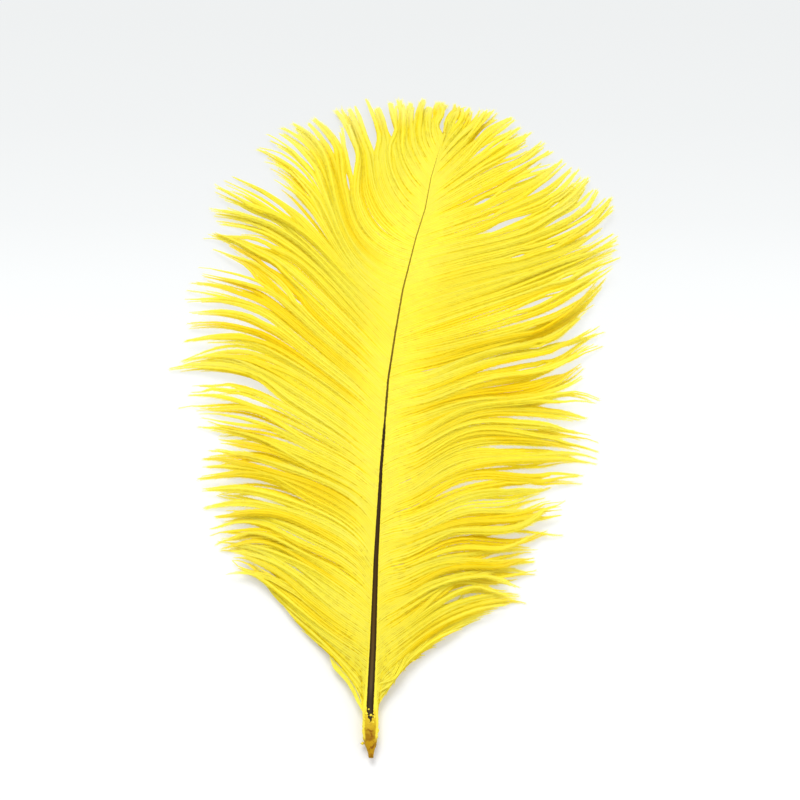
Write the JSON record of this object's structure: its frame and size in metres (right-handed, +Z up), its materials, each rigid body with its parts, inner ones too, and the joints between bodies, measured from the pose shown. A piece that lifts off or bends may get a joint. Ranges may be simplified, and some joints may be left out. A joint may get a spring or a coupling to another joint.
{
  "type": "ostrich feather",
  "caption": "Dyed yellow ostrich feather lying flat, with a thin dark shaft, a torn quill end and two broad vanes gathered into soft pointed locks.",
  "frame": {"origin": "centre of the bounding box, on the surface that the feather lies on", "axes": "+Y along the shaft from the quill end towards the tip, +X towards the right-hand vane seen from above, +Z up, away from the surface that it lies on"},
  "size_m": [0.1156, 0.1835, 0.0086],
  "materials": {
    "feather": "satin"
  },
  "bodies": {
    "root": {"feather": "feather"}
  },
  "joints": []
}
